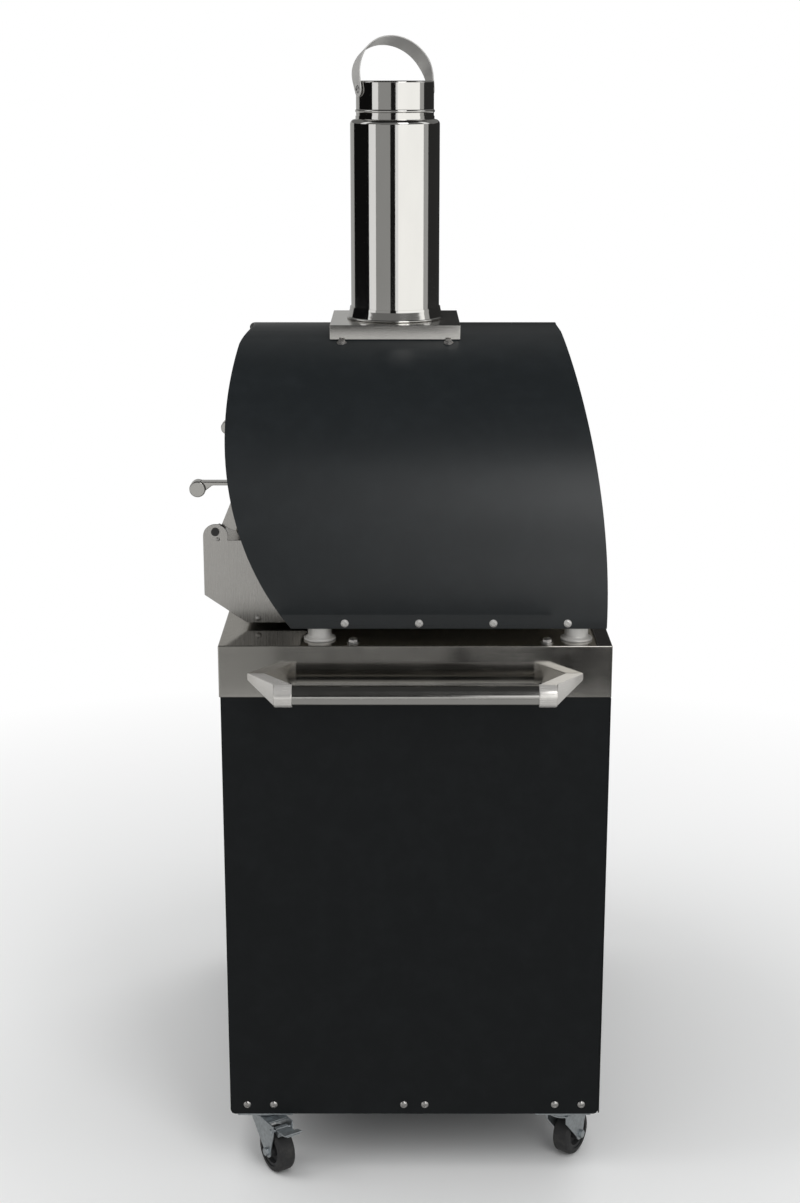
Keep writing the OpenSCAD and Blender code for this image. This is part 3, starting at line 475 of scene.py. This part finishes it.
def soften(node, mat, width=ROUNDING, shortest=0.0, thin=0.0):
    """Replaces a CAD node by a copy whose edges are rounded, as folded or cast metal's are."""
    mesh = welded(node, width, shortest, thin)
    ob = place_piece(node + "_finish", mesh, body_of[node], mat, slot_of[node], node)
    bevel = ob.modifiers.new("edge", "BEVEL")
    bevel.width = width
    bevel.segments = SEGMENTS
    bevel.limit_method = "WEIGHT"
    bevel.use_clamp_overlap = False
    weigh = ob.modifiers.new("normals", "WEIGHTED_NORMAL")
    weigh.mode = "FACE_AREA_WITH_ANGLE"
    weigh.weight = 100
    weigh.keep_sharp = True
    apply_modifiers(ob)


HOLES = 0.012  # longer than any side of a hole's outline in the cart's sheets
THIN = 0.003  # thicker than the cart's sheets
CORNERS = ("front_right", "front_left", "rear_right", "rear_left")

# material, width of the rounding, shortest edge that is rounded, and what counts as thin
SOFT = {
    "cart_top": ("band", 0.0018, HOLES, THIN), "rear_panel": ("panel", 0.0006, HOLES),
    "side_panel_right": ("panel", ROUNDING, HOLES),
    "side_panel_left": ("panel", ROUNDING, HOLES),
    "base_pan": ("panel", ROUNDING, HOLES), "bar_brackets": ("bracket", 0.0015),
    "oven_feet": ("satin",), "top_cap_nuts": ("bolt", 0.0005),
    "landing_shelf": ("steel_z", 0.0007), "front_fascia": ("steel_x", 0.0006),
    "mouth_ring": ("iron",), "outer_shell": ("shell",),
    "rear_cover": ("shell", 0.0006), "hearth_stones": ("stone", 0.0015),
    "door_skin": ("steel_x", 0.0006), "door_pull_arms": ("bar", 0.0012),
    "flue_flange": ("flange",), "flange_bolts": ("bolt", 0.0005),
    **{f"fork_{corner}": ("zinc", 0.0006) for corner in CORNERS},
    "caster_plates": ("zinc", 0.0006),
    "brake_pedal_right": ("zinc",), "brake_pedal_left": ("zinc",),
    **{f"wheel_{corner}": ("hub", 0.0006) for corner in CORNERS},
    "door_pulls": ("bar", 0.002), "side_bar_right": ("bar", 0.001), "side_bar_left": ("bar", 0.001),
    "cap_bail": ("satin", 0.0006), "thermometer_case": ("bar", 0.0006),
}

# CAD nodes whose shape is right as it is, and their material
PLAIN = {
    "cheek_screws": "bolt", "floor_pan": "pan",
    "floor_insulation": "fibre", "inner_dome": "inner", "dome_insulation": "fibre",
    "door_core": "fibre", "door_liner": "inner", "door_hinge_pins": "black",
    "thermometer_dial": "dial", "thermometer_needle": "red", "thermometer_glass": "glass",
    "flue_collar": "mirror", "flue_pipe": "mirror", "flue_cap": "mirror", "bail_rivets": "bolt",
    **{f"axle_{corner}": "zinc" for corner in CORNERS},
    **{f"tyre_{corner}": "rubber" for corner in CORNERS},
}
for node, finish in SOFT.items():
    soften(node, *finish)
for node, mat in PLAIN.items():
    paint(nodes[node], mat)


# ---- rivets under the hinge pins ----

RAY_STEP, RAY_REACH = 0.01, 6.0  # where a ray that misses looks for the nearest place, in metres
RIVET_RADIUS, RIVET_HEIGHT = 0.0033, 0.0014


def carrier(*names):
    """A BVH tree of finished pieces, as placed."""
    verts, faces = [], []
    for name in names:
        ob = bpy.data.objects[name]
        first = len(verts)
        verts += [ob.matrix_world @ v.co for v in ob.data.vertices]
        faces += [[first + i for i in f.vertices] for f in ob.data.polygons]
    return BVHTree.FromPolygons(verts, faces)


def on_surface(x, y, tree):
    """The place where an image ray meets a surface. A miss takes the place nearest the ray."""
    start, aim = image_ray(x, y)
    spot = tree.ray_cast(start, aim)[0]
    if spot is None:
        steps = range(int(RAY_REACH / RAY_STEP))
        near = [tree.find_nearest(start + aim * (i * RAY_STEP)) for i in steps]
        spot = min(near, key=lambda found: found[3])[0]
    return spot


def domed_head(bm, place, radius, height, sides=28, rings=5):
    """Adds a low round head that stands on the place's own XY plane."""
    turns = [math.tau * i / sides for i in range(sides)]
    rows = []
    for ring in range(rings):
        rise = math.pi / 2 * ring / rings
        reach, lift = radius * math.cos(rise), height * math.sin(rise)
        rows.append([bm.verts.new(place @ Vector((reach * math.cos(a), reach * math.sin(a), lift)))
                     for a in turns])
    top = bm.verts.new(place @ Vector((0, 0, height)))
    for i in range(sides):
        j = (i + 1) % sides
        for low, high in zip(rows, rows[1:]):
            bm.faces.new((low[i], low[j], high[j], high[i]))
        bm.faces.new((rows[-1][i], rows[-1][j], top))
    bm.faces.new(rows[0][::-1])


def cheek_rivets():
    """A rivet under each hinge pin, placed on the right cheek and mirrored to the left."""
    spot = on_surface(*POINTS["cheek_rivet"], carrier("landing_shelf_finish"))
    bm = bmesh.new()
    for side in (1, -1):
        outward = Vector((side, 0, 0)).to_track_quat("Z", "Y")
        place = Matrix.LocRotScale((side * spot.x, spot.y, spot.z), outward, None)
        domed_head(bm, place, RIVET_RADIUS, RIVET_HEIGHT)
    mesh = finished(bm, "cheek_rivets")
    mesh.shade_smooth()
    place_piece("cheek_rivets", mesh, "oven", "bolt", "stainless_satin")


# ---- the rear panel's upper edge ----

def rear_hem():
    """The rear panel's upper edge, folded in behind the band so that no light shows between."""
    low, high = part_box("rear_panel")
    inset, thick, down, up = 0.028, 0.0016, 0.012, 0.012
    size = (high[0] - low[0] - 2 * inset, thick, down + up)
    place = ((low[0] + high[0]) / 2, low[1] - thick / 2, high[2] + (up - down) / 2)
    bm = bmesh.new()
    bmesh.ops.create_cube(bm, size=1, matrix=Matrix.LocRotScale(place, None, size))
    mesh = finished(bm, "rear_hem")
    place_piece("rear_hem", mesh, body_of["rear_panel"], "panel", slot_of["rear_panel"])


# ---- the thermometer's scale ----

INK = 0.00012  # thickness of the marks
SCALE_END, NUMBERS, TICKS = 500, 5, 25  # degrees Celsius, and steps from 0 to there
FIRST_ANGLE, UNIT_ANGLE = math.radians(225), math.radians(270)
TICK_OUTER, LONG_TICK, SHORT_TICK = 0.95, 0.8, 0.87  # shares of the dial's radius
WIDE_TICK, FINE_TICK = 0.0007, 0.00035
NUMBER_AT, NUMBER_SIZE = 0.6, 0.2  # shares of the dial's radius
UNIT_AT, UNIT_SIZE = 0.62, 0.22


def tick(bm, place, angle, inner, outer, width):
    """Adds a flat bar that points to the middle of the dial."""
    along = Vector((math.cos(angle), math.sin(angle), 0))
    across = Vector((-along.y, along.x, 0)) * width / 2
    low = [bm.verts.new(place @ (along * r + across * s)) for r, s in
           ((inner, -1), (outer, -1), (outer, 1), (inner, 1))]
    rise = place.to_3x3() @ Vector((0, 0, INK))
    high = [bm.verts.new(v.co + rise) for v in low]
    bm.faces.new(high)
    for i in range(4):
        j = (i + 1) % 4
        bm.faces.new((low[i], low[j], high[j], high[i]))


def word(bm, place, text, angle, radius, size):
    """Adds upright text whose middle lies at an angle and a radius."""
    curve = bpy.data.curves.new("word", "FONT")
    curve.body = text
    curve.size = size
    curve.extrude = INK / 2
    curve.align_x = curve.align_y = "CENTER"
    ob = bpy.data.objects.new("word", curve)
    scene.collection.objects.link(ob)
    bpy.context.view_layer.update()
    graph = bpy.context.evaluated_depsgraph_get()
    mesh = bpy.data.meshes.new_from_object(ob.evaluated_get(graph))
    at = Vector((math.cos(angle) * radius, math.sin(angle) * radius, INK / 2))
    mesh.transform(place @ Matrix.Translation(at))
    bm.from_mesh(mesh)
    bpy.data.objects.remove(ob)
    bpy.data.curves.remove(curve)


def dial_marks():
    """Ticks and numbers of a generic scale in degrees Celsius, on the needle's own sweep."""
    joint = next(j for j in record["behaviour"]["joints"] if j["name"] == "needle_turn")
    out = -Vector(joint["axis"]).normalized()
    right = Vector((1, 0, 0))
    pivot = Vector(joint["pos_m"])
    sweep = math.radians(joint["range_deg"][1])
    dial = nodes["thermometer_dial"].data.vertices
    radius = max(abs(v.co.x) for v in dial)
    place = Matrix((right, out.cross(right), out)).transposed().to_4x4()
    place.translation = pivot + out * max((v.co - pivot).dot(out) for v in dial)
    bm = bmesh.new()
    for k in range(TICKS + 1):
        angle = FIRST_ANGLE - sweep * k / TICKS
        major = k % (TICKS // NUMBERS) == 0
        tick(bm, place, angle, radius * (LONG_TICK if major else SHORT_TICK),
             radius * TICK_OUTER, WIDE_TICK if major else FINE_TICK)
    for k in range(NUMBERS + 1):
        word(bm, place, str(SCALE_END * k // NUMBERS), FIRST_ANGLE - sweep * k / NUMBERS,
             radius * NUMBER_AT, radius * NUMBER_SIZE)
    word(bm, place, "\u00b0C", UNIT_ANGLE, radius * UNIT_AT, radius * UNIT_SIZE)
    place_piece("dial_marks", finished(bm, "dial_marks"), "door", "ink", "black_steel")


# ---- hexagon sockets in the dome bolts ----

SOCKET_ACROSS = 0.005  # across its flats
SOCKET_DEPTH = 0.0022
SHARP = math.radians(35)  # a bolt's edges that turn by more than this shade sharp


def islands(bm):
    """The separate solids of a mesh, as lists of vertices."""
    left = set(bm.verts)
    for seed in bm.verts:
        if seed not in left:
            continue
        left.remove(seed)
        island = [seed]
        for vert in island:  # which grows on the way
            grown = {e.other_vert(vert) for e in vert.link_edges} & left
            left -= grown
            island += grown
        yield island


def socket_cutter(name):
    """A hexagon prism in the face of each of a piece's bolts, which point to +X or -X."""
    bm, cutters = bmesh.new(), bmesh.new()
    bm.from_mesh(bpy.data.objects[name].data)
    for island in islands(bm):
        side = 1 if island[0].co.x > 0 else -1
        face = max(side * v.co.x for v in island) * side
        middle = [sum(f(v.co[k] for v in island) for f in (min, max)) / 2 for k in (1, 2)]
        place = Matrix.Translation((face, *middle)) @ Matrix.Rotation(math.pi / 2, 4, "Y")
        corner = SOCKET_ACROSS / math.sqrt(3)
        bmesh.ops.create_cone(cutters, segments=6, radius1=corner, radius2=corner,
                              depth=2 * SOCKET_DEPTH, cap_ends=True, matrix=place)
    bm.free()
    cutter = bpy.data.objects.new("cutter", finished(cutters, "cutter"))
    scene.collection.objects.link(cutter)
    return cutter


def socket_heads(node, mat):
    """Replaces bolts by a copy with a hexagon socket sunk in each head."""
    name = node + "_finish"
    ob = place_piece(name, welded(node), body_of[node], mat, slot_of[node], node)
    ob.data.shade_smooth()
    cutter = socket_cutter(name)
    cut = ob.modifiers.new("socket", "BOOLEAN")
    cut.operation = "DIFFERENCE"
    cut.solver = "EXACT"
    cut.object = cutter
    apply_modifiers(ob)
    ob.data.set_sharp_from_angle(angle=SHARP)
    bpy.data.objects.remove(cutter)


cheek_rivets()
rear_hem()
dial_marks()
socket_heads("panel_bolts", "bolt")
socket_heads("shell_bolts", "satin")


# ---- floor and world ----

FLOOR = 40  # metres from the middle to the floor's edge
FADE = (0.75, 2.3)  # where the floor begins to whiten and where it is white, in metres
AMBIENT = (0.55, 0.555, 0.56)  # the world's tone where it lights the object


def direct_view(tree):
    """1 for rays from the camera, a mirror or a glass, 0 for the light that bounces."""
    path = tree.nodes.new("ShaderNodeLightPath")
    seen = math_node(tree, "ADD", path.outputs["Is Camera Ray"], path.outputs["Is Glossy Ray"])
    seen = math_node(tree, "ADD", seen, path.outputs["Is Transmission Ray"])
    seen.node.use_clamp = True
    return seen


def floor():
    """Pale and matt; further out it shows as the white of the backdrop."""
    mesh = bpy.data.meshes.new("floor")
    corners = [(-FLOOR, -FLOOR, 0), (FLOOR, -FLOOR, 0), (FLOOR, FLOOR, 0), (-FLOOR, FLOOR, 0)]
    mesh.from_pydata(corners, [], [(0, 1, 2, 3)])
    ob = bpy.data.objects.new("floor", mesh)
    scene.collection.objects.link(ob)
    mat, tree, shader = new_material("studio_floor", (0.86, 0.86, 0.855), 0.0, 1.0)
    shader.inputs["Specular IOR Level"].default_value = 0.0
    ob.data.materials.append(mat)
    away = tree.nodes.new("ShaderNodeVectorMath")
    away.operation = "LENGTH"
    tree.links.new(coords(tree), away.inputs[0])
    white = remap(tree, away.outputs["Value"], 0, 1, between=FADE)
    backdrop = add(tree, "ShaderNodeEmission", Color=(1, 1, 1, 1), Strength=1.0)
    blend = tree.nodes.new("ShaderNodeMixShader")
    tree.links.new(math_node(tree, "MULTIPLY", white, direct_view(tree)), blend.inputs[0])
    tree.links.new(shader.outputs[0], blend.inputs[1])
    tree.links.new(backdrop.outputs[0], blend.inputs[2])
    tree.links.new(blend.outputs[0], tree.nodes["Material Output"].inputs["Surface"])
    ob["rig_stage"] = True


def studio_world():
    """Even pale light all round; metal and glass show the same pale backdrop as the camera."""
    world = bpy.data.worlds.new("studio")
    world.use_nodes = True
    scene.world = world
    tree = world.node_tree
    back = tree.nodes["Background"]
    seen = mix_colour(tree, direct_view(tree), AMBIENT, (1, 1, 1))
    tree.links.new(seen, back.inputs["Color"])
    back.inputs["Strength"].default_value = 1.0


# ---- cards that only reflections see, and lights ----

def reflector(name, points, faces, tone):
    """A studio card or flag that only reflections see."""
    mesh = bpy.data.meshes.new(name)
    mesh.from_pydata(points, [], faces)
    ob = bpy.data.objects.new(name, mesh)
    scene.collection.objects.link(ob)
    mat = bpy.data.materials.new(name)
    mat.use_nodes = True
    tree = mat.node_tree
    tree.nodes.clear()
    glow = add(tree, "ShaderNodeEmission", Color=(tone, tone, tone * 0.98, 1), Strength=1.0)
    out = tree.nodes.new("ShaderNodeOutputMaterial")
    tree.links.new(glow.outputs[0], out.inputs["Surface"])
    mesh.materials.append(mat)
    ob.visible_camera = False
    ob.visible_diffuse = False
    ob.visible_shadow = False
    ob.visible_transmission = False
    ob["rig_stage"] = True


def card(name, start, end, tone, low, high, foot=3.0, top=3.0):
    """A curved card from height low, at radius foot, to height high, at radius top.

    Its angles, in degrees, run from +X towards +Y.
    """
    facet = 6  # degrees, at most
    count = max(2, int(abs(end - start) / facet) + 1)
    points, faces = [], []
    for i in range(count + 1):
        a = math.radians(start + (end - start) * i / count)
        points += [(r * math.cos(a), r * math.sin(a), z) for r, z in ((foot, low), (top, high))]
        if i:
            k = 2 * i
            faces.append((k - 2, k, k + 1, k - 1))
    reflector(name, points, faces, tone)


def flat_card(name, low, high, tone):
    """A level card from one corner to the other."""
    (x0, y0, z), (x1, y1, z) = low, high
    reflector(name, [(x0, y0, z), (x1, y0, z), (x1, y1, z), (x0, y1, z)], [(0, 1, 2, 3)], tone)


def softbox(name, place, target, size, power, mirrored=False):
    """A rectangular light. Only a mirrored one shows in reflections."""
    data = bpy.data.lights.new(name, "AREA")
    data.shape = "RECTANGLE"
    data.size, data.size_y = size
    data.energy = power
    ob = bpy.data.objects.new(name, data)
    ob.location = place
    aim = Vector(target) - Vector(place)
    ob.rotation_euler = aim.to_track_quat("-Z", "Y").to_euler()
    ob.visible_glossy = mirrored
    scene.collection.objects.link(ob)


MID, HIGH = 1.01, 2.2  # the lower and upper edge of the middle ring of cards

# name, angle from, angle to, tone, height from, height to
CARDS = (
    ("card_right", 94, 182, 0.03, MID, HIGH),
    ("card_rim", -178, -130, 0.42, MID, HIGH),
    ("card_left", -130, -70, 0.006, MID, HIGH),
    ("card_grey", -50, -12, 0.34, MID, HIGH),
    ("card_middle", -12, 4, 0.012, MID, HIGH),
    ("card_bright", 8, 78, 1.3, MID, HIGH),
    ("card_fade", 78, 94, 0.45, MID, HIGH),
    ("card_high", -80, 80, 0.18, HIGH, 5.2),
    ("card_high", 100, 260, 0.18, HIGH, 5.2),
    ("strip_low", -70, 70, 0.64, 0.26, 1.0),
    ("strip_back", 70, 290, 0.64, 0.01, 1.0),
    ("foot_far", -70, -14, 0.64, 0.01, 0.25),
    ("foot_left", -14, -7, 0.3, 0.01, 0.25),
    ("foot_middle", -7, 3, 0.14, 0.01, 0.25),
    ("foot_right", 3, 70, 0.02, 0.01, 0.25),
)

floor()
studio_world()
for row in CARDS:
    card(*row)
for side in (-1, 1):
    card("card_floor", side * 98, side * 125, 0.02, 0.008, 0.009, foot=1.8, top=2.95)
flat_card("floor_flag", (-2.9, -2.9, 0.004), (2.9, 2.9, 0.004), 0.38)
flat_card("ceiling_flag", (-2.3, -2.3, 4.4), (2.3, 2.3, 4.4), 0.02)
for side in (-1, 1):
    flat_card("bar_flag", (side * 0.36, -0.19, 0.96), (side * 0.8, 0.24, 0.96), 0.05)
softbox("key", (2.6, 1.1, 2.8), target=(0, 0.1, 1.1), size=(1.2, 2.6), power=30, mirrored=True)
softbox("top", (0.2, -0.4, 4.2), target=(0, 0, 1.0), size=(3.0, 3.0), power=40)
softbox("front", (0.8, -3.2, 2.4), target=(0, 0, 1.0), size=(1.8, 1.8), power=26)
softbox("back", (-2.6, 1.8, 2.8), target=(0, 0, 1.0), size=(1.8, 1.8), power=24)

scene.view_settings.view_transform = "Standard"


# ---- how true the image points are ----

# piece whose outline it is (None: the whole object), axis of the image, and which end
EDGES = {
    "object_left": (None, 0, min), "object_right": (None, 0, max),
    "object_top": (None, 1, min), "object_bottom": (None, 1, max),
    "pipe_left": ("flue_pipe", 0, min), "pipe_right": ("flue_pipe", 0, max),
    "flange_left": ("flue_flange", 0, min), "flange_right": ("flue_flange", 0, max),
    "shell_left": ("outer_shell", 0, min), "shell_right": ("outer_shell", 0, max),
    "ridge": ("outer_shell", 1, min), "band_left": ("cart_top", 0, min),
}
SPOTS = {
    "pull": "door_pulls", "cheek_screw": "cheek_screws", "cheek_rivet": "cheek_rivets",
    "shell_bolt_front": "shell_bolts", "shell_bolt_rear": "shell_bolts",
    "cap_nut": "top_cap_nuts", "panel_bolt_front": "panel_bolts",
    "panel_bolt_rear": "panel_bolts",
}
NEAR = 16  # pixels round a spot in which its piece is looked for
COVER = 0.0015  # metres by which something must be in front to hide a vertex


def what_shows():
    """Image places of the vertices that the camera sees, by piece."""
    pieces = {}
    for ob in scene.objects:
        if ob.type == "MESH" and not ob.hide_render and not ob.get("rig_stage"):
            pieces[ob.name.replace("_finish", "")] = ob
    bpy.context.view_layer.update()
    tree = carrier(*[ob.name for ob in pieces.values()])
    eye = camera.matrix_world.translation
    shown = {}
    for name, ob in pieces.items():
        spots = []
        for v in ob.data.vertices:
            place = ob.matrix_world @ v.co
            aim = place - eye
            far = tree.ray_cast(eye, aim.normalized())[3]
            if far is None or far > aim.length - COVER:
                spots.append(image_of(place))
        shown[name] = spots
    return shown


def measure_points():
    """Works out how far in x and y each edge feature shows from its image point, and which shown
    vertices lie near each spot; the results are not kept.
    """
    shown = what_shows()
    every = [spot for spots in shown.values() for spot in spots]
    for name, (piece, axis, pick) in EDGES.items():
        spots = shown.get(piece, []) if piece else every
        if spots:
            {"xy"[axis]: round(pick(s[axis] for s in spots) - POINTS[name][axis], 1)}
    for name, piece in SPOTS.items():
        x, y = POINTS[name]
        spots = [s for s in shown.get(piece, []) if abs(s[0] - x) < NEAR and abs(s[1] - y) < NEAR]
        if not spots:
            continue


measure_points()
